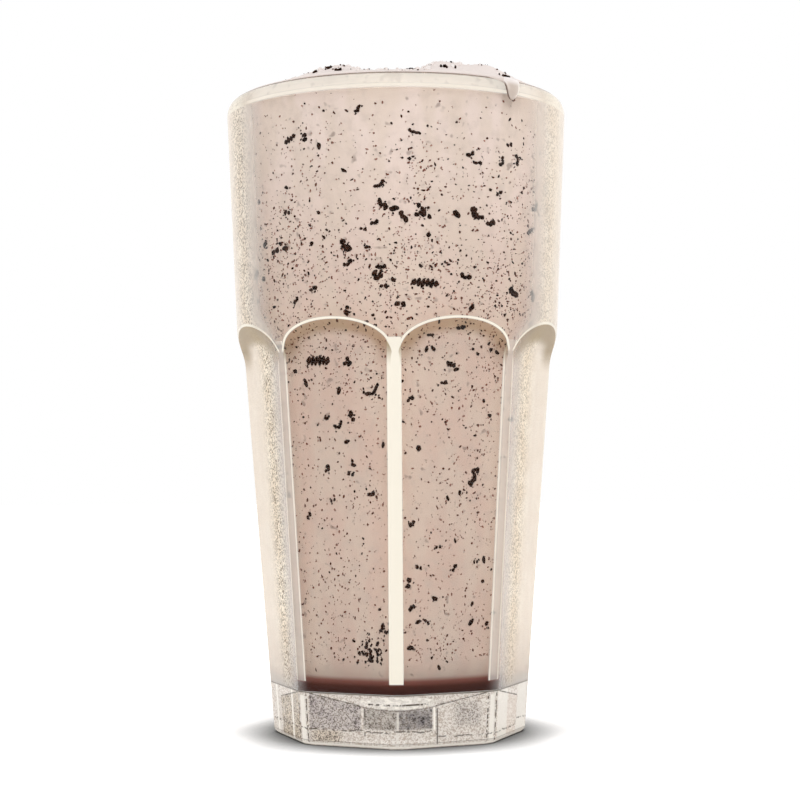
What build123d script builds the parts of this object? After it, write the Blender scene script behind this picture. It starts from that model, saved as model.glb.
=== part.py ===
from build123d import *
import math
import os

# A cookie milkshake in a tall clear tumbler with eight flat panels, in millimetres.
# The tumbler stands on z = 0, centred on the Z axis, with a rib at its front (-Y) and the
# run of foam over its lip at the front right.

# Tumbler, outside: a plain upper cone, a short shoulder and a ribbed lower cone. Each taper
# is what the radius loses from the top of that stretch to its foot.
glass_height = 170.0
rim_radius = 46.0
upper_taper = 2.6
shoulder_top_z = 106.0
shoulder_taper = 1.9
shoulder_foot_z = 100.4
shoulder_round = 18.0
lower_taper = 7.7
foot_chamfer = 1.0
foot_ring_width = 6.9

# Lip: a tall soft round outside, a small round inside.
lip_round_height = 3.7
lip_outer_round = 2.4
lip_inner_round = 1.1

# Panels: flat faces that lean out with the glass and cove out to a round arch at the top.
panel_count = 8
panel_foot_depth = 1.9
panel_top_depth = 2.75
cove_start_z = 98.2
cove_radius = 15.5
edge_round = 0.6

# Inside of the tumbler.
base_thickness = 12.0
floor_wall = 4.4
floor_round = 12.0
recess_depth = 1.6

# Milkshake above the rim: a low crown of foam, soft at its edge, with two mounds in front.
foam_crown = 6.2
foam_edge = 0.6
mounds = [
    # angle from the front rib, distance in from the lip's top, spread, height above the crown
    (-23.0, 10.6, 11.0, 2.3),
    (21.0, 10.6, 10.0, 2.4),
    (38.0, 10.1, 9.5, 2.7),
]
mound_blend = 3.0
foam_overhang = 1.2

# The run of milkshake over the lip.
drip_angle = 40.6
drip_width = 5.0
drip_length = 4.8
drip_thickness = 0.9
drip_edge_round = 0.4

# Values that follow from the sizes above.
lip_start_z = glass_height - lip_round_height
lip_top_radius = rim_radius - lip_outer_round
bore_top_radius = lip_top_radius - lip_inner_round
bore_top_z = glass_height - lip_inner_round
shoulder_top_radius = rim_radius - upper_taper
shoulder_foot_radius = shoulder_top_radius - shoulder_taper
foot_radius = shoulder_foot_radius - lower_taper
floor_radius = foot_radius - floor_wall
lower_slope = lower_taper / (shoulder_foot_z - foot_chamfer)
panel_foot_radius = foot_radius - panel_foot_depth
recess_radius = panel_foot_radius - foot_chamfer - foot_ring_width
recess_sphere = (recess_radius**2 + recess_depth**2) / (2 * recess_depth)
foam_chord = math.hypot(lip_top_radius, foam_crown - foam_edge)
foam_sphere = foam_chord**2 / (2 * (foam_crown - foam_edge))


def front_direction(angle):
    """Unit vector at an angle round the glass, from the front towards +X."""
    return Vector(math.sin(math.radians(angle)), -math.cos(math.radians(angle)), 0)


def radial_plane(angle):
    """Upright plane through the axis: its x axis points outwards and its y axis up."""
    outwards = front_direction(angle)
    return Plane(origin=(0, 0, 0), x_dir=outwards, z_dir=outwards.cross(Vector(0, 0, 1)))


def facing_plane(angle, distance):
    """Upright plane that faces outwards at a distance from the axis, with its y axis up."""
    outwards = front_direction(angle)
    return Plane(origin=outwards * distance, x_dir=Vector(0, 0, 1).cross(outwards), z_dir=outwards)


def bore_outline():
    """Half outline of the inside, from the floor's centre up to the top of the lip."""
    FilletPolyline(
        (0, base_thickness),
        (floor_radius, base_thickness),
        (bore_top_radius, bore_top_z),
        radius=floor_round,
    )
    EllipticalCenterArc(
        (lip_top_radius, bore_top_z), lip_inner_round, lip_inner_round, start_angle=90, arc_size=90
    )


def outer_outline(growth):
    """Half outline of the outside, from the lip's top down to the foot, grown outwards."""
    EllipticalCenterArc(
        (lip_top_radius, lip_start_z),
        lip_outer_round + growth,
        lip_round_height + growth,
        start_angle=0,
        arc_size=90,
    )
    FilletPolyline(
        (rim_radius + growth, lip_start_z),
        (shoulder_top_radius + growth, shoulder_top_z),
        (shoulder_foot_radius + growth, shoulder_foot_z),
        (foot_radius + growth, foot_chamfer),
        radius=shoulder_round,
    )


# The tumbler.
with BuildPart() as glass:
    with BuildSketch(radial_plane(0)):
        with BuildLine():
            outer_outline(0)
            bore_outline()
            Polyline(
                (foot_radius, foot_chamfer), (foot_radius - foot_chamfer, 0), (0, 0), (0, base_thickness)
            )
        make_face()
    revolve(axis=Axis.Z)

    # Each panel is cut by a block whose inner face is the panel and, above it, the cove.
    panel_height = cove_start_z - foot_chamfer
    cove_start_radius = foot_radius + lower_slope * panel_height - panel_top_depth
    panel_lean = math.degrees(math.atan2(cove_start_radius - panel_foot_radius, panel_height))
    clear_radius = rim_radius + cove_radius
    for panel in range(panel_count):
        with BuildSketch(radial_plane((panel + 0.5) * 360 / panel_count)):
            with BuildLine():
                face_line = Line((panel_foot_radius, foot_chamfer), (cove_start_radius, cove_start_z))
                cove = JernArc(face_line @ 1, face_line % 1, cove_radius, panel_lean - 90)
                Polyline(
                    cove @ 1,
                    (clear_radius, (cove @ 1).Y),
                    (clear_radius, 0),
                    (panel_foot_radius - foot_chamfer, 0),
                    face_line @ 0,
                )
            make_face()
        extrude(amount=foot_radius, both=True, mode=Mode.SUBTRACT)

    # The outline of every panel is softly rounded, as pressed glass is.
    turned_types = (GeomType.LINE, GeomType.CIRCLE, GeomType.ELLIPSE)
    panel_outlines = glass.edges().filter_by(lambda edge: edge.geom_type not in turned_types)
    fillet(panel_outlines, edge_round)

    # Shallow recess under the base.
    with Locations((0, 0, recess_depth - recess_sphere)):
        Sphere(recess_sphere, mode=Mode.SUBTRACT)

# The run over the lip: a tongue that hugs the outside of the lip and ends in a round tip.
with BuildPart() as drip:
    with BuildSketch(facing_plane(drip_angle, bore_top_radius)):
        with Locations((0, glass_height - drip_length + drip_width / 2)):
            Circle(drip_width / 2)
            Rectangle(drip_width, drip_length, align=(Align.CENTER, Align.MIN))
    extrude(amount=rim_radius - bore_top_radius + 2 * drip_thickness)
    with BuildSketch(radial_plane(drip_angle)):
        with BuildLine():
            outer_outline(drip_thickness)
            Polyline(
                (foot_radius + drip_thickness, foot_chamfer),
                (0, foot_chamfer),
                (0, glass_height + drip_thickness),
                (lip_top_radius, glass_height + drip_thickness),
            )
        make_face()
    revolve(axis=Axis.Z, mode=Mode.INTERSECT)
    fillet(drip.edges().filter_by(GeomType.BSPLINE), drip_edge_round)

# The mounds: caps that stand square on the crown and end on the lip.
with BuildPart() as mound_foam:
    crown_centre = Vector(0, 0, glass_height + foam_crown - foam_sphere)
    for angle, inset, spread, rise in mounds:
        reach = lip_top_radius - inset
        mound_sphere = (spread**2 + rise**2) / (2 * rise)
        upwards = math.sqrt(foam_sphere**2 - reach**2)
        crown_normal = (front_direction(angle) * reach + Vector(0, 0, upwards)) / foam_sphere
        with Locations(crown_centre + crown_normal * (foam_sphere + rise - mound_sphere)):
            Sphere(mound_sphere)
    with Locations((0, 0, glass_height)):
        Cylinder(
            lip_top_radius + foam_overhang,
            2 * foam_crown,
            align=(Align.CENTER, Align.CENTER, Align.MIN),
            mode=Mode.INTERSECT,
        )

# The milkshake fills the tumbler and stands above its rim.
with BuildPart() as milkshake:
    with BuildSketch(radial_plane(0)):
        with BuildLine():
            bore_outline()
            Line((lip_top_radius, glass_height), (lip_top_radius, glass_height + foam_edge))
            RadiusArc(
                (lip_top_radius, glass_height + foam_edge), (0, glass_height + foam_crown), -foam_sphere
            )
            Line((0, glass_height + foam_crown), (0, base_thickness))
        make_face()
    revolve(axis=Axis.Z)
    add(mound_foam.part)
    blend_floor = glass_height + 2 * foam_edge
    fillet(milkshake.edges().filter_by(lambda edge: edge.center().Z > blend_floor), mound_blend)
    add(drip.part)
    add(glass.part, mode=Mode.SUBTRACT)
milkshake.part.label = "milkshake"

os.makedirs("parts", exist_ok=True)
export_step(glass.part, "parts/glass.step")
export_step(milkshake.part, "parts/milkshake.step")
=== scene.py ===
import bmesh
import bpy
import math
import numpy as np
from mathutils import Matrix, Vector


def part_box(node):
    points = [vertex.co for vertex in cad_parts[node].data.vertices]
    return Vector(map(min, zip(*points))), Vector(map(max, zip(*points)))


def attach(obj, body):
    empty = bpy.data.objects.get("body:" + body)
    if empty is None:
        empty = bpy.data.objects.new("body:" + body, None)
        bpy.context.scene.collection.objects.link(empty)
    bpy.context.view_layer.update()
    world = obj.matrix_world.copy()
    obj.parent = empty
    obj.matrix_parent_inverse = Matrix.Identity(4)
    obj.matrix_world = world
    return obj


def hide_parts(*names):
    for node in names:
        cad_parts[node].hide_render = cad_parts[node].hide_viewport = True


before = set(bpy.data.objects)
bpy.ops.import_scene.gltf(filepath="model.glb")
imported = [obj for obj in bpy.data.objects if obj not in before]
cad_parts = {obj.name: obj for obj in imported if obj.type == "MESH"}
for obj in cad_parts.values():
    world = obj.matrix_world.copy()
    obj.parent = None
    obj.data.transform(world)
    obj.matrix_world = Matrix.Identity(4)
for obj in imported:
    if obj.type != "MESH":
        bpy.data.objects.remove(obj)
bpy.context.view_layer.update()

# All sizes below are in millimetres and degrees. Angles run round the glass from the front rib
# (-Y), positive towards +X.
MM = 0.001
glass_low, glass_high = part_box("glass")
shake_low, shake_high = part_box("milkshake")
glass_height = glass_high.z / MM
rim_radius = (glass_high.x - glass_low.x) / 2 / MM
floor_z = shake_low.z / MM
crown_z = shake_high.z / MM

# Tumbler, outside.
upper_taper = 2.6
shoulder_top_z = 106.0
shoulder_taper = 1.9
shoulder_foot_z = 100.4
shoulder_round = 18.0
lower_taper = 7.7
foot_chamfer = 1.0
lip_round_height = 3.7
lip_outer_round = 2.4
lip_inner_round = 1.1

# Panels.
panel_count = 8
panel_pitch = 360.0 / panel_count
panel_foot_depth = 1.9
panel_top_depth = 2.75
cove_start_z = 98.2
arch_start_z = 99.9
arch_top_z = 108.5
arch_power = 1.4
gleam_shift = 0.3
rib_edge_round = 1.0
arch_edge_round = 1.0

# Inside and underside of the tumbler.
floor_wall = 4.4
floor_round = 12.0
recess_radius = 24.0
recess_depth = 1.6
shake_reach = 0.25

# Values that follow from the sizes above.
lip_start_z = glass_height - lip_round_height
lip_top_radius = rim_radius - lip_outer_round
bore_top_radius = lip_top_radius - lip_inner_round
bore_top_z = glass_height - lip_inner_round
shoulder_top_radius = rim_radius - upper_taper
shoulder_foot_radius = shoulder_top_radius - shoulder_taper
foot_radius = shoulder_foot_radius - lower_taper
floor_radius = foot_radius - floor_wall
lower_slope = lower_taper / (shoulder_foot_z - foot_chamfer)
shoulder_slope = shoulder_taper / (shoulder_top_z - shoulder_foot_z)
upper_slope = upper_taper / (lip_start_z - shoulder_top_z)
panel_foot_radius = foot_radius - panel_foot_depth
cove_start_radius = foot_radius + lower_slope * (cove_start_z - foot_chamfer) - panel_top_depth
panel_slope = (cove_start_radius - panel_foot_radius) / (cove_start_z - foot_chamfer)

rng = np.random.default_rng(628)

# Looks. Grain sizes are in millimetres, and FAR_OFF is the distance given to points that are
# not on the tumbler's outside, and the most that any distance is stored as.
WORLD_LIGHT = 0.55
HAZE_GRAIN = 0.36
BASE_GRAIN = 0.27
BASE_TOP_Z = 14.0
FAR_OFF = 20.0
CRUMB_LIFT = 0.15
FLOOR_PALE = (0.86, 0.86, 0.86)


# ---------------------------------------------------------------- small tools

def smooth_step(low, high, value):
    """0 below low, 1 above high and a smooth rise between them."""
    t = np.clip((value - low) / (high - low), 0, 1)
    return t * t * (3 - 2 * t)


def smooth_min(a, b, width):
    """The lower of a and b, with the corner between them rounded over a band of that width."""
    near = np.clip(1 - np.abs(a - b) / width, 0, 1)
    return np.minimum(a, b) - near * near * width / 4


def smooth_max(a, b, width):
    return -smooth_min(-a, -b, width)


def corner_width(radius, slope_change):
    """The band of smooth_min that rounds a corner of two slopes to that radius."""
    return radius * slope_change**2 / 2


def polar(angle, radius, z):
    """Points in millimetres from an angle in degrees, a radius and a height."""
    turn = np.radians(angle)
    x = radius * np.sin(turn)
    y = -radius * np.cos(turn)
    return np.stack(np.broadcast_arrays(x, y, z), axis=-1)


def add_object(name, data):
    made = bpy.data.objects.new(name, data)
    bpy.context.scene.collection.objects.link(made)
    return made


def make_object(name, points, faces, material, smooth=True):
    """A mesh object from points in millimetres."""
    mesh = bpy.data.meshes.new(name)
    mesh.from_pydata((np.asarray(points) * MM).tolist(), [], faces)
    mesh.validate()
    mesh.polygons.foreach_set("use_smooth", [smooth] * len(mesh.polygons))
    mesh.materials.append(material)
    mesh.update()
    return add_object(name, mesh)


def ring_piece(name, rings, poles, material):
    """A closed piece of rings of points, with a fan to a pole at each end."""
    ring_size = len(rings[0])
    step = np.arange(ring_size)
    following = (step + 1) % ring_size
    faces = []
    for ring in range(len(rings) - 1):
        low = ring * ring_size
        high = low + ring_size
        faces += np.stack([low + step, low + following, high + following, high + step], 1).tolist()
    last = (len(rings) - 1) * ring_size
    pole = np.full(ring_size, len(rings) * ring_size)
    faces += np.stack([following, step, pole], 1).tolist()
    faces += np.stack([last + step, last + following, pole + 1], 1).tolist()
    return make_object(name, np.concatenate(rings + [np.array(poles)]), faces, material)


def store(piece, name, values):
    """Keeps a number for each point of a piece, which its material reads."""
    piece.data.attributes.new(name, "FLOAT", "POINT").data.foreach_set("value", values)


# ---------------------------------------------------------------- tumbler shape

def turned_radius(z):
    """Radius of the turned outside at a height below the lip's round."""
    lower = shoulder_foot_radius + lower_slope * (z - shoulder_foot_z)
    shoulder = shoulder_top_radius + shoulder_slope * (z - shoulder_top_z)
    upper = shoulder_top_radius + upper_slope * (z - shoulder_top_z)
    foot_corner = corner_width(shoulder_round, shoulder_slope - lower_slope)
    top_corner = corner_width(shoulder_round, shoulder_slope - upper_slope)
    return smooth_min(smooth_max(lower, shoulder, foot_corner), upper, top_corner)


def panel_distance(z):
    """Distance of a panel's face from the axis: a leaning flat that coves out at its top."""
    flat = cove_start_radius + panel_slope * (z - cove_start_z)
    top_flat = cove_start_radius + panel_slope * (arch_top_z - cove_start_z)
    depth = turned_radius(arch_top_z) - top_flat
    rise = np.clip((z - arch_start_z) / (arch_top_z - arch_start_z), 0, 3)
    return flat + depth * rise**arch_power


def outer_radius(angle, z):
    """Radius of the outside of the tumbler, below the lip's round."""
    off_centre = (angle % panel_pitch) - panel_pitch / 2
    panel = panel_distance(z) / np.cos(np.radians(off_centre))
    rib_width = corner_width(rib_edge_round, math.tan(math.radians(panel_pitch * 0.43)))
    arch_width = corner_width(arch_edge_round, 0.9)
    width = rib_width + (arch_width - rib_width) * smooth_step(99.0, 106.0, z)
    chamfer = smooth_max(foot_chamfer - z, 0.0, 0.3)
    return smooth_min(turned_radius(z), panel, width) - chamfer


def bore_profile(reach):
    """Radius and height up the inside of the tumbler, from the floor's edge to the lip's top,
    moved into the glass by reach."""
    slope = (bore_top_radius - floor_radius) / (bore_top_z - floor_z)
    lean = math.atan(slope)
    turn = math.pi / 2 - lean
    tangent = floor_round * math.tan(turn / 2)
    centre_r = floor_radius - tangent
    centre_z = floor_z + floor_round
    corner = np.linspace(0, turn, 13)
    profile = [
        (centre_r + (floor_round + reach) * math.sin(a), centre_z - (floor_round + reach) * math.cos(a))
        for a in corner
    ]
    start_r, start_z = profile[-1]
    end_r = bore_top_radius + reach * math.cos(lean)
    for share in np.linspace(0, 1, 60)[1:]:
        profile.append((start_r + (end_r - start_r) * share, start_z + (bore_top_z - start_z) * share))
    for a in np.linspace(0, math.pi / 2, 7)[1:]:
        size = lip_inner_round - reach
        profile.append((lip_top_radius - size * math.cos(a), bore_top_z + size * math.sin(a)))
    return np.array(profile)


def edge_distance(angle, z):
    """Distance along the outside from the nearest panel's outline: above 0 on the turned glass,
    below 0 in the panel."""
    def gap(at, height):
        off_centre = (at % panel_pitch) - panel_pitch / 2
        return panel_distance(height) / np.cos(np.radians(off_centre)) - turned_radius(height)

    step = 0.05
    arc = np.degrees(step / turned_radius(z))
    across = (gap(angle + arc, z) - gap(angle - arc, z)) / (2 * step)
    along = (gap(angle, z + step) - gap(angle, z - step)) / (2 * step)
    return gap(angle, z) / np.maximum(np.hypot(across, along), 0.05)


def rib_distance(angle, z):
    """Distance round the outside from the middle of the nearest rib's gleam."""
    off_rib = (angle + panel_pitch / 2) % panel_pitch - panel_pitch / 2
    return np.abs(np.radians(off_rib) * turned_radius(z) + gleam_shift)


def rib_strength(angle):
    """How strongly a rib gleams: most in front, less elsewhere."""
    rib = np.round(angle / panel_pitch) % panel_count
    return np.where(rib == 0, 1.0, 0.35)


def side_share(angle):
    """How far round a point lies: 0 at the front and back, 1 at the sides."""
    return np.abs(np.sin(np.radians(angle)))


def behind(angle):
    """1 on the front half and falling off behind it, where the condensation and its painted sheen are
    thinner.
    """
    return 1 - 0.7 * smooth_step(0.0, 0.5, -np.cos(np.radians(angle)))


def haze_and_sheen_mask(angle, z):
    """Condensation with a painted sheen of reflected light: heavy at the sides, none towards the
    front, thinner on the back half. It starts further round above the arches."""
    side = side_share(angle)
    start = 0.65 + 0.07 * smooth_step(104.0, 112.0, z)
    return smooth_step(start, start + 0.24, side) * smooth_step(10.0, 16.0, z) * behind(angle)


def grit_mask(angle, z):
    """How much the condensation is speckled: along its front edge, further round above the
    arches, less at the very sides and more on the left."""
    side = side_share(angle)
    low = smooth_step(0.68, 0.78, side) * smooth_step(0.98, 0.88, side)
    high = smooth_step(0.80, 0.88, side) * smooth_step(1.0, 0.93, side)
    left = 0.5 - 0.5 * np.sin(np.radians(angle))
    grit = (low + (high - low) * smooth_step(100.0, 110.0, z)) * (0.45 + 0.55 * np.sqrt(left))
    return grit * behind(angle)


def across_base(angle, z):
    """Distance sideways from the nearest of the front, back and side ribs."""
    off_rib = (angle + panel_pitch) % (2 * panel_pitch) - panel_pitch
    return side_share(off_rib) * outer_radius(angle, np.maximum(z, 0.0))


def tumbler_angles():
    """Angles round the glass, close together at the ribs' edges."""
    half = panel_pitch / 2
    flat = np.linspace(-17.0, 17.0, 37)
    rib = np.linspace(17.0, half, 19)[1:]
    one = np.concatenate([-rib[::-1], flat, rib[:-1]])
    return np.concatenate([one + (panel + 0.5) * panel_pitch for panel in range(panel_count)])


def tumbler_rings(angles):
    """Rings of points from the recess under the foot, up the outside and down the bore, with
    the height of each ring on the outside and -1 for the others."""
    levels = np.concatenate([
        np.linspace(0, 2.0, 9),
        np.linspace(2.0, 17.0, 7)[1:],
        np.linspace(17.0, 96.0, 9)[1:],
        np.linspace(96.0, 111.0, 52)[1:],
        np.linspace(111.0, lip_start_z, 8)[1:],
    ])
    foot = outer_radius(angles, 0.0)
    recess_sphere = (recess_radius**2 + recess_depth**2) / (2 * recess_depth)
    rings, heights = [], []

    def add_ring(radius, z, height=-1.0):
        rings.append(polar(angles, radius, z))
        heights.append(height)

    for share in (0.12, 0.3, 0.5, 0.7, 0.85, 0.95):
        radius = recess_radius * share
        add_ring(radius, recess_depth - recess_sphere + math.sqrt(recess_sphere**2 - radius**2))
    for share in (0.0, 0.35, 0.65, 0.9):
        add_ring(recess_radius + (foot - recess_radius) * share, 0.0)
    for z in levels:
        add_ring(outer_radius(angles, z), z, z)
    for a in np.linspace(0, math.pi / 2, 13)[1:]:
        z = lip_start_z + lip_round_height * math.sin(a)
        add_ring(lip_top_radius + lip_outer_round * math.cos(a), z, z)
    bore = bore_profile(0.0)[::-1]
    keep = [i for i in range(len(bore)) if i <= 6 or i >= len(bore) - 13 or i % 12 == 0]
    for i in keep[1:]:
        add_ring(bore[i][0], bore[i][1])
    add_ring(bore[-1][0] * 0.5, floor_z)
    return rings, heights


def tumbler_measures(around, height):
    """What the tumbler's material needs to know of each point, by attribute name."""
    outside = height >= 0
    edge = np.clip(edge_distance(around, height), -FAR_OFF, FAR_OFF)
    return {
        "edge_distance": np.where(outside, edge, FAR_OFF),
        "rib_distance": np.where(outside, rib_distance(around, height), FAR_OFF),
        "rib_strength": rib_strength(around),
        "haze_and_sheen": np.where(outside, haze_and_sheen_mask(around, height), 0.0),
        "outside": outside * 1.0,
        "grit": np.where(outside, grit_mask(around, height), 0.0),
        "across": across_base(around, height),
        "flank": smooth_step(0.88, 0.98, side_share(around)),
        "hand": smooth_step(-0.5, 0.5, np.sin(np.radians(around)) * 40.0),
        "outer": smooth_step(0.69, 0.72, side_share(around)),
    }


def build_tumbler(material):
    angles = tumbler_angles()
    rings, heights = tumbler_rings(angles)
    poles = [[0, 0, recess_depth], [0, 0, floor_z]]
    piece = ring_piece("tumbler", rings, poles, material)
    measures = tumbler_measures(np.tile(angles, len(rings)), np.repeat(heights, len(angles)))
    for name, values in measures.items():
        store(piece, name, np.append(values, [values[0], values[-1]]))
    return piece


# ---------------------------------------------------------------- milkshake shape

drip_angle = 40.6
drip_width = 5.0
drip_length = 5.7
drip_thickness = 0.75
foam_crown = crown_z - glass_height
foam_edge = 0.6
foam_sphere = (lip_top_radius**2 + (foam_crown - foam_edge) ** 2) / (2 * (foam_crown - foam_edge))
mounds = [
    # angle, distance from the axis, spread across, spread along, height
    (-23.0, 36.5, 6.5, 5.5, 2.1),
    (-33.0, 38.0, 4.0, 4.0, 0.5),
    (19.5, 36.5, 5.0, 5.0, 1.9),
    (30.0, 37.0, 6.5, 5.0, 2.1),
    (39.5, 38.5, 5.0, 4.0, 2.1),
    (47.0, 40.0, 3.0, 3.0, 0.7),
]


def lumps(x, y):
    """Low soft unevenness of the foam."""
    value = 0.30 * np.sin(x * 0.23 + 0.7) * np.cos(y * 0.19 - 0.4)
    value += 0.18 * np.sin(x * 0.51 - y * 0.37 + 1.9)
    value += 0.10 * np.sin(x * 0.93 + y * 0.81 + 0.3) + 0.05 * np.sin(x * 1.9 - y * 1.4)
    return value


def foam_height(x, y):
    """Height of the foam's top, before its edge is rolled down."""
    radius = np.hypot(x, y)
    angle = np.degrees(np.arctan2(x, -y))
    height = crown_z - foam_sphere + np.sqrt(foam_sphere**2 - radius**2) - 0.45
    height = smooth_min(height, crown_z - 1.5, 1.5)
    for at, reach, across, along, rise in mounds:
        side = np.radians(angle - at) * reach
        height = height + rise * np.exp(-((side / across) ** 2) - ((radius - reach) / along) ** 2)
    return height + lumps(x, y) * smooth_step(44.0, 34.0, radius)


def foam_reach(angle):
    """How far out on the lip the foam lies."""
    wander = 0.25 * np.sin(np.radians(angle * 5 + 20)) + 0.2 * np.sin(np.radians(angle * 13))
    spill = 1.7 * np.exp(-(((angle - 40) / 6) ** 2)) + 0.4 * np.exp(-(((angle + 25) / 9) ** 2))
    return lip_top_radius + 0.4 + wander + spill


def lip_height(radius):
    """Height of the lip's surface at a radius."""
    outer = np.clip((radius - lip_top_radius) / lip_outer_round, 0, 1)
    inner = np.clip((lip_top_radius - radius) / lip_inner_round, 0, 1)
    over = lip_start_z + lip_round_height * np.sqrt(1 - outer**2)
    inside = bore_top_z + lip_inner_round * np.sqrt(1 - inner**2)
    return np.where(radius > lip_top_radius, over, inside)


def build_milkshake(material):
    angles = np.arange(0, 360, 1.0)
    signed = (angles + 180) % 360 - 180
    profile = bore_profile(shake_reach)
    rings = [polar(angles, profile[0][0] * 0.5, floor_z - shake_reach)]
    rings += [polar(angles, radius, z) for radius, z in profile]
    edge = foam_reach(signed)
    foot = lip_height(edge) - 0.12
    top_radius = edge - 1.3
    sine, cosine = np.sin(np.radians(signed)), np.cos(np.radians(signed))
    top = foam_height(top_radius * sine, -top_radius * cosine)
    for turn in np.radians([0, 15, 30, 45, 60, 75, 90]):
        radius = edge - 1.3 * (1 - math.cos(turn))
        rings.append(polar(angles, radius, foot + (top - foot) * math.sin(turn)))
    for share in np.linspace(1, 0, 60)[1:-1]:
        radius = top_radius * share
        rings.append(polar(angles, radius, foam_height(radius * sine, -radius * cosine)))
    poles = [[0, 0, floor_z - shake_reach], [0, 0, foam_height(0.0, 0.0)]]
    return ring_piece("milkshake_body", rings, poles, material)


def drip_path(count):
    """Radius, height, outward radius and rise of the way over the lip, down to the drip's tip."""
    path = []
    for share in np.linspace(0, 1, count):
        if share < 0.25:
            back = 1 - share / 0.25
            path.append((lip_top_radius - 2.0 * back, glass_height + 0.25 * back, 0.0, 1.0))
        elif share < 0.8:
            a = math.pi / 2 * (1 - (share - 0.25) / 0.55)
            out, rise = lip_round_height * math.cos(a), lip_outer_round * math.sin(a)
            size = math.hypot(out, rise)
            radius = lip_top_radius + lip_outer_round * math.cos(a)
            z = lip_start_z + lip_round_height * math.sin(a)
            path.append((radius, z, out / size, rise / size))
        else:
            z = lip_start_z - (share - 0.8) / 0.2 * (drip_length - lip_round_height)
            path.append((shoulder_top_radius + upper_slope * (z - shoulder_top_z), z, 1.0, 0.0))
    return path


def build_drip(material):
    """The run of foam over the lip: broad where it leaves the foam, narrow, then a full drop."""
    rings, around = [], np.linspace(0, 2 * math.pi, 32, endpoint=False)
    count = 44
    for index, (radius, z, out, rise) in enumerate(drip_path(count)):
        share = index / (count - 1)
        neck = 0.5 * drip_width * (0.62 + 1.35 * (1 - share) ** 1.3)
        end = math.sqrt(max(0.0, 1 - max(0.0, (share - 0.72) / 0.28) ** 2.2))
        half = neck * max(end, 0.02)
        thick = drip_thickness * (0.75 + 0.5 * share) * max(end, 0.02) ** 0.7
        side = half * np.cos(around)
        lift = thick * np.where(np.sin(around) > 0, np.sin(around), 0.25 * np.sin(around))
        angle = drip_angle + 1.6 * (1 - share) + np.degrees(side / radius)
        rings.append(polar(angle, radius + out * lift, z + rise * lift))
    poles = [rings[0].mean(axis=0), rings[-1].mean(axis=0)]
    piece = ring_piece("foam_drip", rings, poles, material)
    store(piece, "side", np.append(np.tile(np.cos(around), count), [0.0, 0.0]))
    return piece


# ---------------------------------------------------------------- crumbs

wall_start, wall_end = bore_profile(0.0)[12], bore_profile(0.0)[-7]
wall_slope = (wall_end[0] - wall_start[0]) / (wall_end[1] - wall_start[1])


def wall_point(angle, z, out):
    """A point on the inside of the wall, in degrees and millimetres, out into the glass."""
    radius = wall_start[0] + wall_slope * (z - wall_start[1])
    corner_z = np.clip(floor_z + floor_round - z, 0, floor_round)
    drop = floor_round - np.sqrt(floor_round**2 - corner_z**2)
    return polar(angle, radius - drop + out, z)


def on_wall(u, v, w, angle, z):
    """Maps a crumb's own millimetres onto the wall round an angle and a height."""
    return wall_point(angle + np.degrees(u / 40.0), z + v, w)


def on_foam(u, v, w, x, y):
    return np.stack([x + u, y + v, foam_height(x + u, y + v) + w], axis=-1)


def ball(fineness):
    """Points and faces of a ball of triangles, from the coarsest up."""
    shape = bmesh.new()
    bmesh.ops.create_icosphere(shape, subdivisions=fineness, radius=1.0)
    points = np.array([point.co[:] for point in shape.verts])
    faces = np.array([[point.index for point in face.verts] for face in shape.faces])
    shape.free()
    return points, faces


def tilted(along, across, tilt):
    """A place along and across a crumb, after the crumb is tilted by that many degrees."""
    turn = np.radians(tilt)
    u = along * np.cos(turn) - across * np.sin(turn)
    v = along * np.sin(turn) + across * np.cos(turn)
    return u, v


def blob_mesh(blobs, mapping, fineness, raggedness):
    """Points and faces of many ragged blobs. A blob is two numbers that say where it is, its
    offset along and across, its three sizes and its tilt in degrees."""
    points, faces = ball(fineness)
    blobs = np.asarray(blobs, dtype=float)
    count = len(points)
    ragged = 1 + raggedness * rng.uniform(-1, 1, (len(blobs), count))
    own = points[None] * ragged[..., None] * blobs[:, None, 4:7] / 2
    u, v = tilted(own[..., 0], own[..., 1], blobs[:, 7, None])
    u, v, w = u + blobs[:, 2, None], v + blobs[:, 3, None], own[..., 2] + CRUMB_LIFT
    placed = mapping(u, v, w, blobs[:, 0, None], blobs[:, 1, None])
    shifted = faces[None] + (np.arange(len(blobs)) * count)[:, None, None]
    return placed.reshape(-1, 3), shifted.reshape(-1, 3)


def join_meshes(meshes):
    points, faces, start = [], [], 0
    for some_points, some_faces in meshes:
        points.append(some_points)
        faces.append(some_faces + start)
        start += len(some_points)
    return np.concatenate(points), np.concatenate(faces)


def chunk_blobs(first, second, length, width, tilt, bend, satellites=3):
    """A broken piece of cookie: lumps along a bent line, with a few small ones beside it."""
    count = max(2, round(1.7 * length / width))
    blobs = []
    for share in np.linspace(-0.5, 0.5, count):
        along = share * length * 0.7
        across = bend * (share * share * 4 - 0.5) + rng.normal(0, 0.12 * width)
        u, v = tilted(along, across, tilt)
        size = width * rng.uniform(0.7, 1.08)
        blobs.append((first, second, u, v, size * 1.25, size, 0.9, rng.uniform(0, 180)))
    for _ in range(satellites):
        spread = 0.5 * length + 0.4
        u, v = rng.normal(0, spread * 0.6), rng.normal(0, spread * 0.5)
        size = rng.uniform(0.25, 0.6)
        blobs.append((first, second, u, v, size * 1.4, size, 0.7, rng.uniform(0, 180)))
    return blobs


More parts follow.
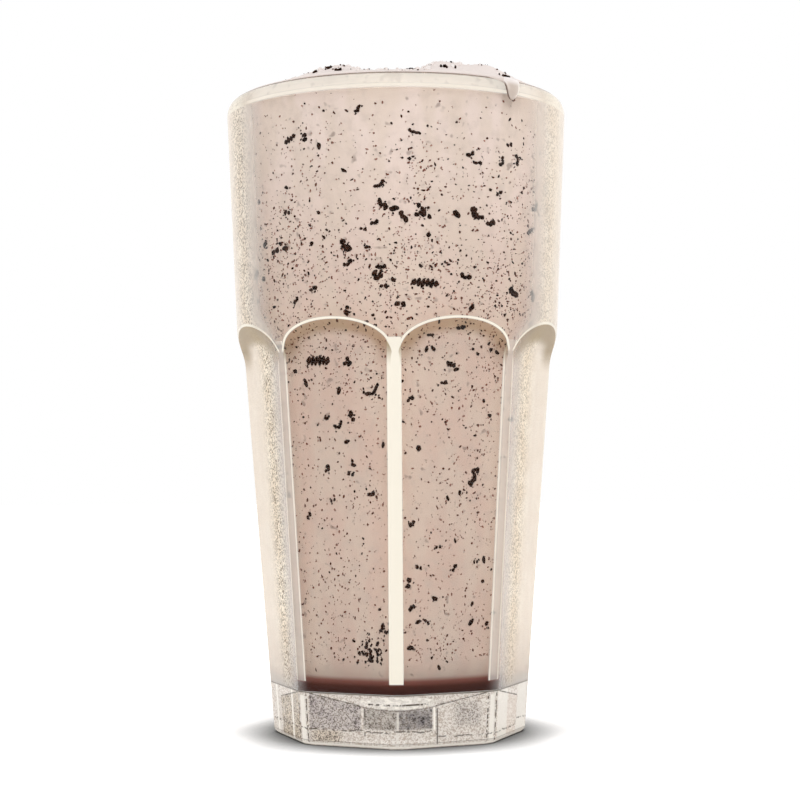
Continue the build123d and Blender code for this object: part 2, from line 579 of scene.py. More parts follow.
def ridged_blobs(angle, z, length, width, tilt, teeth):
    """A piece of pressed cookie edge: a row of short fat ridges on a thin back."""
    pitch = length / teeth
    blobs = []
    for share in np.linspace(-0.5, 0.5, teeth):
        along = share * (length - pitch)
        reach = width * (1.0 - 0.8 * share * share) * rng.uniform(0.85, 1.1)
        across = rng.normal(0, 0.08)
        u, v = tilted(along, across, tilt)
        blobs.append((angle, z, u, v, pitch * 1.05, reach, 1.1, tilt + rng.uniform(-18, -4)))
        blobs.append((angle, z, u, v, pitch * 1.6, width * 0.45, 0.9, tilt))
    return blobs


# The larger pieces: angle round the glass, height, length, width, tilt, bend.
chunks = [
    (-32, 155, 1.6, 1.3, 80, 0.1), (-12, 161, 2.2, 0.8, 60, 0.3), (7, 155, 3.6, 0.8, -14, 0.1),
    (-5, 142, 3.2, 0.9, 28, 0.5), (-4, 137, 3.0, 1.3, -35, 0.3), (0, 136, 1.8, 1.2, 30, 0.2),
    (3, 134, 2.6, 1.4, -45, 0.3), (9, 135.5, 3.4, 1.2, 75, 1.4), (11, 135, 3.2, 1.1, 100, -1.2),
    (-7, 132.5, 1.8, 1.0, 10, 0.2), (30, 135, 4.4, 1.6, -35, 1.0), (36, 133, 2.4, 1.3, 10, 0.2),
    (27, 150, 1.7, 1.4, 20, 0.0), (30, 148, 1.6, 1.2, 0, 0.0), (40, 149, 2.6, 1.0, 80, 0.3),
    (47, 150, 3.0, 1.0, 100, 0.3), (39, 141, 1.6, 1.2, 30, 0.2), (43, 153.5, 1.4, 1.0, 30, 0.0),
    (-41, 136.5, 1.5, 1.1, 0, 0.2), (-11, 131, 1.4, 1.0, 0, 0.0), (6, 148.5, 1.3, 0.9, 30, 0.0),
    (-48, 127, 2.2, 1.6, 20, 0.2), (-18, 127, 3.0, 1.7, -50, 0.5), (-17, 122.5, 2.4, 1.2, 30, 0.4),
    (-5, 121.5, 3.0, 1.0, 6, 0.2), (-6, 119, 2.0, 1.3, 20, 0.2), (-4, 116.5, 1.6, 1.2, 0, 0.1),
    (26, 119, 2.6, 1.3, -20, 0.4), (-31, 116.5, 1.8, 1.3, 30, 0.3), (-39, 114, 1.9, 1.2, 40, 0.2),
    (-18, 111, 1.7, 1.3, 60, 0.0), (2, 112, 2.0, 1.8, 10, 0.2), (48, 116, 3.0, 2.0, -20, 0.3),
    (25, 107.5, 1.9, 1.4, 20, 0.2), (13, 105, 1.6, 0.9, 0, 0.1), (-19, 97.5, 1.8, 1.4, 0, 0.1),
    (22, 97, 2.4, 1.4, -10, 0.2), (-38, 93, 1.6, 1.0, 100, 0.1), (19, 92.5, 1.5, 1.1, 0, 0.1),
    (-9, 90.5, 6.4, 1.0, 25, 1.2), (5, 88.5, 1.8, 1.1, 30, 0.1), (-29, 84, 1.7, 1.1, 0, 0.1),
    (-18, 84, 2.2, 1.6, -70, 0.4), (-24, 82, 3.6, 0.9, 25, 1.0), (-30, 71, 1.8, 1.2, 70, 0.2),
    (-19, 69.5, 1.7, 1.2, 0, 0.1), (34, 68, 3.6, 1.7, 70, 0.6), (35, 70, 2.0, 1.5, 0, 0.1),
    (-10, 64.5, 1.9, 1.0, 10, 0.2), (-28, 63, 1.6, 1.1, 10, 0.0), (-41, 59, 1.7, 1.2, 40, 0.1),
    (6, 57, 1.8, 1.3, 50, 0.2), (18, 51, 1.6, 1.1, 0, 0.1), (26, 45.5, 1.7, 1.2, 60, 0.1),
    (37, 47, 1.6, 1.2, 0, 0.1), (9, 46, 1.6, 1.3, 0, 0.1), (4, 42, 2.2, 1.6, 70, 0.2),
    (13, 32, 1.6, 1.1, -30, 0.1), (-6, 30.5, 2.0, 1.3, 60, 0.2), (-12, 23, 1.9, 1.2, 70, 0.2),
    (-14, 26, 1.5, 1.0, 60, 0.1), (-8, 24.5, 1.6, 1.1, 100, 0.1), (-14, 19, 1.7, 1.0, 20, 0.1),
    (5, 25.5, 1.8, 1.2, 20, 0.1), (29, 19, 2.0, 1.2, 40, 0.1),
]

# The pieces of pressed edge: angle, height, length, width, tilt, ridges.
ridged = [
    (11, 117.5, 6.6, 2.6, -4, 6), (-32, 98.5, 7.2, 2.9, -2, 6), (-38, 155, 3.6, 1.8, 25, 4),
    (96, 128, 5.4, 2.1, 15, 5), (-118, 104, 5.8, 2.2, -12, 6), (171, 121, 6.0, 2.3, 6, 6),
    (140, 62, 5.2, 2.0, -25, 5), (-160, 84, 5.0, 2.0, 20, 5),
]

# Crumbs on the foam: x, y, length, width, tilt, bend.
foam_chunks = [
    (-16.5, -36.5, 1.4, 0.8, 10, 0.1), (-14.0, -39.5, 2.2, 0.4, 5, 0.5),
    (12.5, -38.5, 1.3, 0.9, 0, 0.1), (15.5, -38.0, 0.5, 0.4, 0, 0.0),
    (9.0, -38.0, 0.5, 0.4, 0, 0.0), (28.2, -33.2, 1.0, 0.7, 50, 0.1), (29.2, -32.6, 0.9, 0.6, 0, 0.0),
    (-20.0, -36.5, 0.9, 0.5, 0, 0.1), (-4.0, 12.0, 3.2, 1.5, 30, 0.4), (14.0, 20.0, 2.6, 1.4, 70, 0.3),
    (-18.0, 24.0, 2.2, 1.2, 10, 0.2), (-24.0, -6.0, 3.4, 1.6, -30, 0.5),
    (19.0, -10.0, 2.4, 1.6, 20, 0.3),
    (2.0, -20.0, 2.0, 1.4, 50, 0.2), (30.0, 12.0, 2.8, 1.3, 0, 0.4), (-6.0, 34.0, 2.4, 1.2, 30, 0.2),
]


def scatter_wall(count, low, high, favour, smallest, largest):
    """Seeded places and sizes round the whole wall, thicker where favour is high."""
    blobs = []
    while len(blobs) < count:
        angle, z = rng.uniform(-180, 180), rng.uniform(low, high)
        if rng.uniform() > favour(angle, z):
            continue
        size = smallest + (largest - smallest) * rng.uniform() ** 2.5
        stretch = rng.uniform(1.0, 1.9)
        blobs.append((angle, z, 0, 0, size * stretch, size, 0.55 + 0.4 * size, rng.uniform(0, 180)))
    return blobs


def scatter_patch(count, centre, spread, smallest, largest):
    """Crumbs gathered round one place on the wall: its angle and height, and the spread of each."""
    blobs = []
    for _ in range(count):
        angle, z = rng.normal(centre[0], spread[0]), max(17.5, rng.normal(centre[1], spread[1]))
        size = smallest + (largest - smallest) * rng.uniform() ** 2
        length, turn = size * rng.uniform(1, 1.6), rng.uniform(0, 180)
        blobs.append((angle, z, 0, 0, length, size, 0.9, turn))
    return blobs


def scatter_foam(count, smallest, largest, depth):
    blobs = []
    for _ in range(count):
        radius, angle = (lip_top_radius - 2.0) * math.sqrt(rng.uniform()), rng.uniform(0, 2 * math.pi)
        size = smallest + (largest - smallest) * rng.uniform() ** 2
        x, y = radius * math.cos(angle), radius * math.sin(angle)
        length, turn = size * rng.uniform(1, 1.6), rng.uniform(0, 180)
        blobs.append((x, y, 0, 0, length, size, depth * size, turn))
    return blobs


def crowding(angle, z):
    """Crumbs drift together: clouds of them, most above the arches and fewest under the rim."""
    swirl = math.sin(math.radians(angle * 5) + z * 0.09) * math.cos(math.radians(angle * 3) - z * 0.13)
    level = 0.36 + 0.64 * math.exp(-(((z - 118) / 22) ** 2))
    level *= 0.25 + 0.75 * min(1.0, max(0.0, (166 - z) / 22))
    level += 0.30 * math.exp(-(((z - 20) / 8) ** 2))
    return level * (0.35 + 0.65 * (0.5 + 0.5 * swirl))


def build_crumbs():
    dark, warm = (0.009, 0.0035, 0.0015), (0.055, 0.022, 0.012)
    cookie = cookie_material("cookie_dark", dark, warm, 0.6, 0.5)
    speckled = cookie_material("cookie_speckle", dark, (0.19, 0.072, 0.045), 0.7, 0.95)
    cocoa = cookie_material("cocoa_speckle", (0.17, 0.060, 0.040), (0.40, 0.23, 0.18), 0.9, 0.3)
    front = [blob for chunk in chunks for blob in chunk_blobs(*chunk)]
    for _ in range(75):
        angle, z = rng.uniform(55, 305), rng.uniform(20, 162)
        length, width = rng.uniform(1.6, 4.0), rng.uniform(1.0, 1.8)
        tilt, bend = rng.uniform(0, 180), rng.uniform(0, 0.8)
        front += chunk_blobs(angle, z, length, width, tilt, bend)
    top = [blob for chunk in foam_chunks for blob in chunk_blobs(*chunk, satellites=1)]
    edges = [blob for piece in ridged for blob in ridged_blobs(*piece)]
    medium = scatter_wall(520, 17, 164, crowding, 0.5, 1.5)
    medium += scatter_patch(60, (-10.5, 23.5), (5.4, 4.2), 0.35, 1.2)
    medium_top = scatter_foam(90, 0.5, 1.6, 0.9)
    fine = scatter_wall(8200, 16, 167, crowding, 0.2, 0.7)
    dust = scatter_wall(8800, 16, 168, crowding, 0.2, 0.6)
    fine_top = scatter_foam(500, 0.15, 0.55, 1.0)

    def on_both(wall, foam, fineness, raggedness):
        return join_meshes([
            blob_mesh(wall, on_wall, fineness, raggedness),
            blob_mesh(foam, on_foam, fineness, raggedness),
        ])

    pieces = [
        ("cookie_chunks", on_both(front, top, 2, 0.22), cookie),
        ("cookie_ridged", blob_mesh(edges, on_wall, 2, 0.14), cookie),
        ("cookie_crumbs", on_both(medium, medium_top, 2, 0.25), cookie),
        ("cookie_specks", on_both(fine, fine_top, 1, 0.3), speckled),
        ("cocoa_specks", blob_mesh(dust, on_wall, 1, 0.3), cocoa),
    ]
    bubbles = blob_mesh(scatter_foam(700, 0.25, 1.3, 0.7), on_foam, 2, 0.02)
    pieces.append(("foam_bubbles", bubbles, bubble_material()))
    for name, (points, faces), material in pieces:
        piece = make_object(name, points, faces.tolist(), material)
        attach(piece, "root")


# ---------------------------------------------------------------- materials

def new_material(name):
    material = bpy.data.materials.new(name)
    material.use_nodes = True
    return material, material.node_tree, material.node_tree.nodes["Principled BSDF"]


def plug(source, target):
    """Links an output, or sets a number or a colour."""
    if isinstance(source, tuple):
        target.default_value = (*source, 1)
    elif isinstance(source, (int, float)):
        target.default_value = source
    else:
        target.id_data.links.new(source, target)


def settle(made, **values):
    """Sets a node's properties and, by socket name, its inputs."""
    for name, value in values.items():
        if hasattr(made, name):
            setattr(made, name, value)
        else:
            plug(value, made.inputs[name.replace("_", " ")])


def node(tree, kind, **values):
    made = tree.nodes.new("ShaderNode" + kind)
    settle(made, **values)
    return made


def calc(operation, a, b=0.0, c=0.0):
    """A sum in the node tree of the first of its values that is an output."""
    tree = next(value.id_data for value in (a, b, c) if isinstance(value, bpy.types.NodeSocket))
    made = node(tree, "Math", operation=operation)
    for value, target in zip((a, b, c), made.inputs):
        plug(value, target)
    return made.outputs[0]


def ramp(value, low, high, to_low=0.0, to_high=1.0):
    """A smooth rise of value from low to high, as to_low to to_high."""
    made = node(value.id_data, "MapRange", interpolation_type="SMOOTHSTEP")
    for given, target in zip((value, low, high, to_low, to_high), made.inputs):
        plug(given, target)
    return made.outputs["Result"]


def blend_colour(share, a, b):
    made = node(share.id_data, "Mix", data_type="RGBA", Factor=share)
    plug(a, made.inputs[6])
    plug(b, made.inputs[7])
    return made.outputs[2]


def mix_shaders(share, a, b):
    made = node(share.id_data, "MixShader")
    for source, target in zip((share, a, b), made.inputs):
        plug(source, target)
    return made.outputs["Shader"]


def place_of(tree):
    """Where a point lies in the piece's own space."""
    return node(tree, "TexCoord").outputs["Object"]


def noise(tree, size, detail=2.0, roughness=0.5, stretch=1.0):
    """Noise in the piece's own space, with features of that size in millimetres. A stretch
    below 1 draws them out upwards."""
    drawn = node(tree, "Mapping", Vector=place_of(tree))
    drawn.inputs["Scale"].default_value = (1.0, 1.0, stretch)
    made = node(tree, "TexNoise", Scale=1 / (size * MM), Detail=detail, Roughness=roughness)
    plug(drawn.outputs["Vector"], made.inputs["Vector"])
    return made.outputs["Fac"]


def speckle(tree, size, low, high):
    """Fine grains of random lightness, from 0 to 1, of that size in millimetres."""
    cells = node(tree, "TexVoronoi", Vector=place_of(tree), Scale=1 / (size * MM))
    split = node(tree, "SeparateColor", Color=cells.outputs["Color"])
    return ramp(split.outputs["Red"], low, high)


def height_of(tree):
    """The height of a point, in millimetres."""
    split = node(tree, "SeparateXYZ", Vector=place_of(tree))
    return calc("MULTIPLY", split.outputs["Z"], 1 / MM)


def bump(height, distance, strength=1.0):
    made = node(height.id_data, "Bump", Height=height, Strength=strength, Distance=distance * MM)
    return made.outputs["Normal"]


def attribute(tree, name):
    return node(tree, "Attribute", attribute_name=name).outputs["Fac"]


def band(value, low, high, soft):
    """1 where value lies between low and high, with soft edges."""
    rise = ramp(value, low - soft, low + soft)
    fall = ramp(value, high + soft, high - soft)
    return calc("MULTIPLY", rise, fall)


def highest(*values):
    most = values[0]
    for value in values[1:]:
        most = calc("MAXIMUM", most, value)
    return most


def times(*values):
    product = values[0]
    for value in values[1:]:
        product = calc("MULTIPLY", product, value)
    return product


def gleam_nodes(tree, height, outside):
    """Painted highlights where pressed edges catch the light: a strip down each rib, a line along
    each arch and rim. The front rib is bright all over, the others mostly along their edges."""
    rib, edge = attribute(tree, "rib_distance"), attribute(tree, "edge_distance")
    strength = attribute(tree, "rib_strength")
    span = band(height, 16.5, 103.7, 0.15)
    strip = times(ramp(rib, 1.95, 1.7), span, strength)
    sides = times(band(rib, 1.25, 1.8, 0.2), span, 0.75)
    arch = times(band(edge, 0.0, 0.62, 0.12), ramp(height, 100.0, 101.6))
    rim_line = times(band(height, 165.7, 166.8, 0.35), 0.75)
    # The painted highlight band along the lip is uneven in patches.
    rim_band_patches = ramp(noise(tree, 4.0, 2.0, 0.6), 0.52, 0.66, 0.62, 0.5)
    rim_band = times(band(height, 166.6, 169.4, 0.3), rim_band_patches)
    return times(highest(strip, sides, arch, rim_line, rim_band), outside)


def lens_radius(across, height):
    """Distance from the middle of the bright lens under the floor, 1 at its outline."""
    sideways = calc("DIVIDE", across, 10.9)
    up = calc("DIVIDE", calc("SUBTRACT", height, 11.75), 1.75)
    return calc("SQRT", calc("ADD", times(sideways, sideways), times(up, up)))


def above_slant(across, height):
    """Height above the slanting upper edge of the side blocks."""
    return calc("SUBTRACT", height, calc("MULTIPLY_ADD", across, 0.205, 8.7))


def inverse(value):
    return calc("SUBTRACT", 1.0, value)


def base_places(tree):
    """Where a point of the base lies: sideways from a main rib, on which hand, in front."""
    across, hand, outer = (attribute(tree, name) for name in ("across", "hand", "outer"))
    return across, hand, inverse(hand), outer, inverse(outer)


def base_bright_nodes(tree, height):
    """Bright lines and bands in the clear base, where its edges gather the light."""
    across, hand, other_hand, outer, front = base_places(tree)
    rib = attribute(tree, "rib_distance")
    cloudy = ramp(noise(tree, 1.6, 2.0, 0.6, stretch=2.0), 0.38, 0.6, 0.45, 0.95)
    lens = times(ramp(lens_radius(across, height), 0.98, 0.84), cloudy, front)
    upright = times(band(across, 8.95, 9.45, 0.12), hand, front)
    upright = times(upright, band(height, 4.6, 10.8, 0.3))
    middle = times(ramp(across, 0.4, 0.2), band(height, 0.5, 9.6, 0.3), 0.7)
    corner = times(ramp(across, 20.0, 20.5), band(height, 1.0, 12.9, 0.3))
    corner_line = times(ramp(rib, 1.0, 0.75), corner, 0.9)
    wide_band = times(band(rib, 2.3, 9.5, 0.4), outer, hand, 0.8)
    wide_band = times(wide_band, band(height, 1.0, 13.6, 0.3))
    side_line = times(band(rib, 6.2, 7.6, 0.3), outer, other_hand, 0.9)
    foot = band(height, 0.2, 0.85, 0.15)
    return highest(lens, upright, middle, corner_line, wide_band, side_line, foot)


def base_dark_nodes(tree, height):
    """Thin dark lines of painted shade beside the bright ones."""
    across, hand, other_hand, _, front = base_places(tree)
    rib = attribute(tree, "rib_distance")
    dashes = ramp(noise(tree, 0.9, 1.0, 0.5), 0.42, 0.54)
    in_lens = times(band(height, 11.1, 11.5, 0.12), dashes, front)
    in_lens = times(in_lens, ramp(across, 7.9, 7.3))
    under_lens = band(lens_radius(across, height), 1.02, 1.12, 0.05)
    under_lens = times(under_lens, ramp(height, 11.8, 11.2), front, 0.6)
    slant = band(above_slant(across, height), -0.05, 0.25, 0.1)
    slant = times(slant, calc("MULTIPLY_ADD", dashes, 0.4, 0.55))
    slant = times(slant, band(across, 9.5, 22.9, 0.3))
    left_upright = times(band(across, 8.2, 8.6, 0.12), other_hand, dashes, 0.7)
    right_upright = times(band(across, 9.75, 10.15, 0.12), hand, 0.8)
    uprights = times(highest(left_upright, right_upright), front)
    uprights = times(uprights, band(height, 1.0, 10.2, 0.3))
    drift = calc("MULTIPLY_ADD", noise(tree, 4.0, 2.0, 0.6), 1.6, -0.8)
    dip = times(ramp(across, 9.0, 10.5), hand, 1.5)
    low = calc("ADD", height, calc("ADD", drift, dip))
    low_line = times(band(low, 4.2, 4.55, 0.15), dashes, 0.85)
    strip_line = times(band(height, 1.25, 1.45, 0.1), 0.5)
    corner = times(ramp(across, 20.0, 20.5), band(height, 0.8, 13.2, 0.3))
    corner_line = times(band(rib, 1.3, 1.7, 0.15), corner, dashes)
    top_line = times(band(height, 13.5, 13.85, 0.15), 0.85)
    level = highest(low_line, strip_line, top_line)
    return highest(in_lens, under_lens, slant, uprights, corner_line, level)


def base_colour_nodes(tree, height, grain):
    """The base between its lines, painted with the shade and reflections seen in clear glass:
    speckled grey blocks in front, browner and pinker beyond.
    """
    across, hand, other_hand, outer, front = base_places(tree)
    cream = blend_colour(grain, (0.62, 0.52, 0.44), (1.0, 0.94, 0.87))
    left_half = blend_colour(grain, (0.08, 0.065, 0.05), (0.48, 0.43, 0.385))
    right_half = blend_colour(grain, (0.02, 0.018, 0.02), (0.22, 0.20, 0.205))
    lilac = blend_colour(grain, (0.11, 0.09, 0.08), (0.62, 0.55, 0.53))
    brown = blend_colour(grain, (0.05, 0.032, 0.018), (0.80, 0.67, 0.52))
    pink = blend_colour(grain, (0.68, 0.54, 0.44), (1.0, 0.91, 0.82))
    grey = blend_colour(grain, (0.12, 0.10, 0.09), (0.68, 0.62, 0.57))
    patch = times(band(across, 14.5, 21.0, 1.5), band(height, 5.5, 11.5, 1.5), 0.8)
    left_side = blend_colour(outer, lilac, brown)
    right_side = blend_colour(outer, blend_colour(patch, cream, grey), pink)
    side = blend_colour(hand, left_side, right_side)
    start = calc("MULTIPLY_ADD", outer, 3.5, height)
    soften = ramp(noise(tree, 3.0, 2.0, 0.6), 0.32, 0.62, 1.0, 0.6)
    below = ramp(above_slant(across, height), 0.25, -0.25)
    side_block = times(band(across, 9.4, 22.8, 0.3), below, soften)
    side_block = times(side_block, ramp(start, 3.8, 5.0))
    centre_block = times(ramp(across, 8.9, 8.5), band(height, 5.0, 10.2, 0.5))
    centre_block = times(centre_block, soften, front)
    low_left = times(band(across, 14.5, 22.0, 1.5), other_hand, 0.7)
    low_left = times(low_left, band(height, 1.3, 4.2, 0.5))
    colour = blend_colour(low_left, cream, brown)
    colour = blend_colour(side_block, colour, side)
    return blend_colour(centre_block, colour, blend_colour(hand, left_half, right_half))


def haze_and_sheen_colour_nodes(tree, haze_and_sheen, grain, flank):
    """The condensation with a painted sheen of reflected light: cream in streaks and patches,
    speckled, plainer and paler at the very sides.
    """
    patches = ramp(noise(tree, 7.0, 3.0, 0.6), 0.35, 0.65)
    streaks = ramp(noise(tree, 2.6, 3.0, 0.6, stretch=0.12), 0.38, 0.62)
    dark_grain = times(inverse(grain), attribute(tree, "grit"))
    cream = blend_colour(patches, (0.88, 0.75, 0.585), (0.96, 0.855, 0.70))
    cream = blend_colour(times(streaks, 0.4), cream, (0.80, 0.66, 0.51))
    cream = blend_colour(dark_grain, cream, (0.27, 0.20, 0.13))
    cream = blend_colour(times(flank, 0.6), cream, (0.98, 0.89, 0.79))
    return blend_colour(haze_and_sheen, (0.985, 0.98, 0.965), cream)


def arch_shade_nodes(tree, height, haze_and_sheen, outside):
    """The shade in each cove and the line under its arch."""
    edge = attribute(tree, "edge_distance")
    reach = times(edge, calc("MULTIPLY_ADD", haze_and_sheen, -0.5, 1.0))
    cove = times(ramp(reach, -7.2, -1.6), ramp(edge, 0.0, -0.15), outside)
    cove = times(cove, ramp(height, 96.0, 103.0), 0.95)
    under_line = times(band(edge, -0.6, -0.05, 0.12), outside, 0.9)
    under_line = times(under_line, ramp(height, 98.0, 102.0))
    return highest(cove, under_line)


def let_light_through(tree, glass, base):
    """Lets shadow rays pass the glass, dimmed a little at the base."""
    passed = blend_colour(base, (1, 1, 1), (0.55, 0.54, 0.53))
    clear_pass = node(tree, "BsdfTransparent", Color=passed)
    shadow_ray = node(tree, "LightPath").outputs["Is Shadow Ray"]
    surface = mix_shaders(shadow_ray, glass.outputs["BSDF"], clear_pass.outputs["BSDF"])
    plug(surface, tree.nodes["Material Output"].inputs["Surface"])


def tumbler_material():
    """Pressed glass. Its haze with a painted sheen, its painted gleams and its base pattern of
    painted highlights, shade and reflections lie where the mesh's attributes say.
    """
    material, tree, glass = new_material("pressed_glass")
    haze_and_sheen, outside, flank = (attribute(tree, name) for name in ("haze_and_sheen", "outside", "flank"))
    height = height_of(tree)
    grain = speckle(tree, HAZE_GRAIN, 0.2, 0.5)
    base = times(ramp(height, BASE_TOP_Z, BASE_TOP_Z - 0.3), outside)
    gleam = gleam_nodes(tree, height, outside)
    bright = base_bright_nodes(tree, height)
    lines = base_dark_nodes(tree, height)
    shade = arch_shade_nodes(tree, height, haze_and_sheen, outside)
    # A painted line of shade along the top of the lip.
    rim_shade_line = times(band(height, 169.45, 169.8, 0.1), outside)

    base_cover = times(base, highest(0.8, bright, lines))
    # Cover of the haze: condensation, with a painted sheen of cream that is heaviest at the sides.
    low_haze_and_sheen = times(haze_and_sheen, ramp(height, 16, 34, 0.65, 1.0))
    veil = times(low_haze_and_sheen, calc("MULTIPLY_ADD", flank, -0.16, 0.96))
    arch_gleam = times(gleam, calc("MULTIPLY_ADD", haze_and_sheen, -0.4, 0.96))
    covered = highest(arch_gleam, veil, base_cover, times(rim_shade_line, 0.6))

    colour = haze_and_sheen_colour_nodes(tree, haze_and_sheen, grain, flank)
    # The base is painted with the highlights, shade and reflections that clear glass shows.
    base_colour = base_colour_nodes(tree, height, speckle(tree, BASE_GRAIN, 0.1, 0.7))
    base_colour = blend_colour(bright, base_colour, (1.0, 0.95, 0.87))
    base_colour = blend_colour(lines, base_colour, (0.08, 0.06, 0.04))
    colour = blend_colour(base, colour, base_colour)
    colour = blend_colour(gleam, colour, (1.0, 0.94, 0.81))
    colour = blend_colour(shade, colour, (0.40, 0.30, 0.175))
    colour = blend_colour(rim_shade_line, colour, (0.20, 0.135, 0.09))
    frost = highest(haze_and_sheen, times(base, 0.8))
    settle(
        glass,
        Base_Color=colour,
        Transmission_Weight=inverse(covered),
        Roughness=calc("MULTIPLY_ADD", frost, 0.15, 0.03),
        Normal=bump(times(grain, frost, 0.9), 0.08),
        IOR=1.5,
        Specular_IOR_Level=0.05,
        Specular_Tint=(0.2, 0.2, 0.2),
    )
    let_light_through(tree, glass, base)
    return material


def shake_material():
    material, tree, shake = new_material("milkshake_cream")
    height = height_of(tree)
    broad = noise(tree, 26.0, 3.0, 0.5)
    mottle = noise(tree, 3.2, 3.0, 0.6)
    fine = noise(tree, 0.7, 2.0, 0.6)
    upper = blend_colour(broad, (0.670, 0.570, 0.520), (0.710, 0.605, 0.555))
    lower = blend_colour(broad, (0.565, 0.425, 0.355), (0.615, 0.475, 0.405))
    colour = blend_colour(ramp(height, 90, 165), lower, upper)
    swirl = ramp(noise(tree, 7.0, 2.0, 0.6, stretch=0.4), 0.40, 0.62, 0.0, 0.55)
    colour = blend_colour(swirl, colour, (0.615, 0.520, 0.440))
    colour = blend_colour(ramp(mottle, 0.45, 0.75, 0.0, 0.4), colour, (0.50, 0.42, 0.37))
    sunk = ramp(noise(tree, 2.2, 1.0, 0.5), 0.66, 0.80, 0.0, 0.6)
    sunk = calc("MULTIPLY", sunk, ramp(height, 172, 168))
    colour = blend_colour(sunk, colour, (0.20, 0.15, 0.13))
    # Painted shade along the rounded bottom edge of the shake, dark red-brown.
    deep = ramp(height, 16.6, 15.2)
    bottom_shade = blend_colour(deep, (0.30, 0.105, 0.080), (0.145, 0.035, 0.022))
    colour = blend_colour(ramp(height, 18.2, 16.6), colour, bottom_shade)
    foam = ramp(height, 168.6, 170.6)
    colour = blend_colour(foam, colour, (0.86, 0.77, 0.73))
    settle(shake, Base_Color=colour, Roughness=0.5, Specular_IOR_Level=0.08)
    settle(shake, Normal=bump(times(fine, foam), 0.25, 0.8))
    return material


def foam_material():
    """Whipped foam: pale, matt and finely pitted, thinner and glassier where it has run down. The
    run has a painted shade along one edge and a painted highlight along the other.
    """
    material, tree, foam = new_material("foam_cream")
    broad = noise(tree, 5.0, 2.0, 0.5)
    pale = blend_colour(broad, (0.84, 0.75, 0.71), (0.92, 0.85, 0.82))
    side = attribute(tree, "side")
    thin = ramp(height_of(tree), 169.6, 167.8)
    colour = blend_colour(thin, pale, (0.58, 0.48, 0.41))
    # Painted shade along one edge of the thin run, painted highlight along the other.
    painted_shade_edge = times(ramp(side, -0.86, -0.96), thin)
    painted_highlight_edge = times(band(side, 0.75, 0.95, 0.05), thin)
    colour = blend_colour(painted_shade_edge, colour, (0.12, 0.07, 0.05))
    colour = blend_colour(painted_highlight_edge, colour, (1.0, 0.95, 0.88))
    settle(foam, Base_Color=colour, Roughness=0.3, Coat_Weight=0.5)
    settle(foam, Normal=bump(noise(tree, 0.8, 2.0, 0.6), 0.15, 0.4))
    return material


def cookie_material(name, dark, warm, patch_share, low_share):
    """Baked cocoa crumb: near black, browner in places and towards the foot of the glass."""
    material, tree, crumb = new_material(name)
    height = height_of(tree)
    patch = ramp(noise(tree, 1.1, 2.0, 0.6), 0.40, 0.62, 0.0, patch_share)
    uneven = ramp(noise(tree, 0.9), 0.4, 0.6, 0.3, 1.0)
    low = times(ramp(height, 125, 30, 0.0, low_share), uneven)
    colour = blend_colour(highest(patch, low), dark, warm)
    settle(crumb, Base_Color=colour, Roughness=0.8, Specular_IOR_Level=0.03)
    settle(crumb, Normal=bump(noise(tree, 0.25, 3.0, 0.7), 0.15))
    return material


def bubble_material():
    material, tree, bubble = new_material("foam_bubble")
    colour = blend_colour(noise(tree, 2.0), (0.82, 0.74, 0.70), (0.94, 0.88, 0.85))
    settle(bubble, Base_Color=colour, Roughness=0.25, Coat_Weight=0.4)
    return material


# ---------------------------------------------------------------- stage

def build_camera():
    """The photograph's viewpoint: half a metre off, level with the lower panels, looking slightly up."""
    distance, height, offset = 487.0, 71.3, 0.64
    pitch, roll, turn = math.radians(2.14), math.radians(0.36), math.radians(0.7)
    forward = Vector((0, math.cos(pitch), math.sin(pitch)))
    upright = Vector((0, -math.sin(pitch), math.cos(pitch)))
    sideways = Vector((1, 0, 0))
    right = sideways * math.cos(roll) - upright * math.sin(roll)
    up = sideways * math.sin(roll) + upright * math.cos(roll)
    pose = Matrix((right, up, -forward)).transposed().to_4x4()
    pose.translation = Vector((offset, -distance, height)) * MM
    lens = bpy.data.cameras.new("camera")
    lens.sensor_width = 36.0
    lens.lens = 80.5
    lens.clip_start = 0.01
    camera = add_object("camera", lens)
    camera.matrix_world = Matrix.Rotation(turn, 4, "Z") @ pose
    bpy.context.scene.camera = camera


def build_lamp(name, place, target, size, watts, mirrored=False):
    lamp = bpy.data.lights.new(name, "AREA")
    lamp.shape = "RECTANGLE"
    lamp.size, lamp.size_y = size[0] * MM, size[1] * MM
    lamp.energy = watts
    holder = add_object(name, lamp)
    aim = Vector(target) * MM - Vector(place) * MM
    turn = aim.to_track_quat("-Z", "Y").to_matrix().to_4x4()
    holder.matrix_world = Matrix.Translation(Vector(place) * MM) @ turn
    holder.visible_glossy = mirrored


def show_brighter(tree, plain, seen):
    """Mixes in the seen shader for what the camera, reflections and glass see."""
    rays = node(tree, "LightPath").outputs
    names = ("Is Camera Ray", "Is Glossy Ray", "Is Transmission Ray")
    return mix_shaders(highest(*(rays[name] for name in names)), plain, seen)


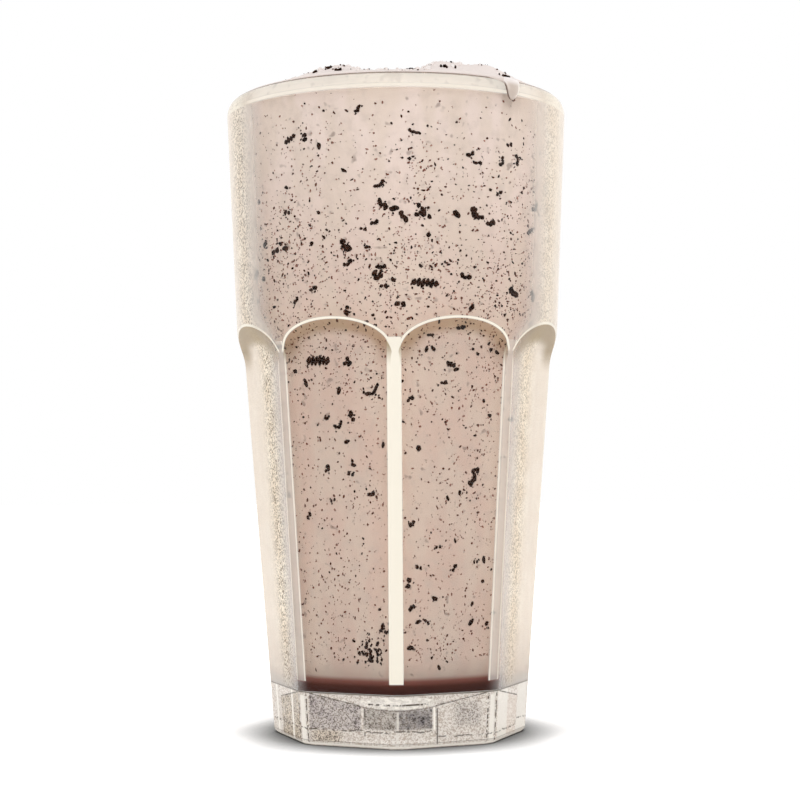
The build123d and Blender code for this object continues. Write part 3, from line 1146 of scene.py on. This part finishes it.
def build_floor():
    """A pale floor that keeps the glass's shadow. Where it is looked at, it is paler further out."""
    size = 3000.0
    corners = [(-size, -size, 0), (size, -size, 0), (size, size, 0), (-size, size, 0)]
    material, tree, paint = new_material("pale_floor")
    settle(paint, Base_Color=FLOOR_PALE, Roughness=0.8)
    close_by = node(tree, "AmbientOcclusion", samples=8, Distance=14 * MM)
    shadow = calc("POWER", close_by.outputs["AO"], 2.4)
    reach = node(tree, "VectorMath", operation="LENGTH")
    plug(place_of(tree), reach.inputs[0])
    fade = ramp(reach.outputs["Value"], 45 * MM, 110 * MM, 0.35, 0.7)
    seen = node(tree, "BsdfDiffuse", Color=blend_colour(shadow, (0, 0, 0), FLOOR_PALE))
    glow = node(tree, "Emission", Strength=times(fade, shadow))
    both = node(tree, "AddShader")
    plug(seen.outputs["BSDF"], both.inputs[0])
    plug(glow.outputs["Emission"], both.inputs[1])
    surface = show_brighter(tree, paint.outputs["BSDF"], both.outputs["Shader"])
    plug(surface, tree.nodes["Material Output"].inputs["Surface"])
    floor = make_object("floor", corners, [(0, 1, 2, 3)], material, smooth=False)


def build_world():
    world = bpy.data.worlds.new("studio")
    world.use_nodes = True
    bpy.context.scene.world = world
    tree = world.node_tree
    plain = tree.nodes["Background"]
    settle(plain, Color=(1, 1, 1), Strength=WORLD_LIGHT)
    white = node(tree, "Background", Color=(1, 1, 1), Strength=1.0)
    sky = show_brighter(tree, plain.outputs[0], white.outputs[0])
    plug(sky, tree.nodes["World Output"].inputs["Surface"])


build_camera()
build_floor()
build_world()
build_lamp("key", (260, -520, 560), (0, 0, 110), (450, 450), 1.9, mirrored=True)
build_lamp("fill", (-480, -380, 300), (0, 0, 100), (350, 500), 0.7)
build_lamp("side_right", (540, 230, 220), (0, 0, 95), (300, 450), 1.3)
build_lamp("side_left", (-540, 190, 220), (0, 0, 95), (300, 450), 1.25)

tumbler = build_tumbler(tumbler_material())
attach(tumbler, "root")
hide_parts("glass")

milkshake = build_milkshake(shake_material())
drip = build_drip(foam_material())
for piece in (milkshake, drip):
    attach(piece, "root")
    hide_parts("milkshake")

build_crumbs()

bpy.context.scene.view_settings.view_transform = "Standard"
